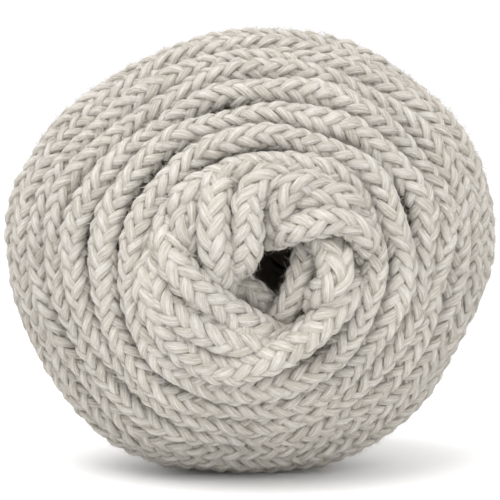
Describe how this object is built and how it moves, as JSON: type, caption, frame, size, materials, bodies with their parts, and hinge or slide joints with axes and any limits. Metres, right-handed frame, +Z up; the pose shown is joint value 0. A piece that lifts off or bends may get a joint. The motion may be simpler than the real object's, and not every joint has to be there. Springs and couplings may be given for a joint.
{
  "type": "ball of macrame cord",
  "caption": "Centre-pull ball of thick braided natural cotton macrame cord, lying on its side, its strands spiralling into the middle of the crown.",
  "frame": {"origin": "middle of the footprint, on the flat spot that the ball rests on", "axes": "+Z up, +X across the ball's longest diameter, +Y along the winding axis from the front crown to the back crown"},
  "size_m": [0.1305, 0.1048, 0.1188],
  "materials": {
    "cotton_cord": "matte"
  },
  "bodies": {
    "root": {"wound_cord_ball": "cotton_cord"}
  },
  "joints": []
}
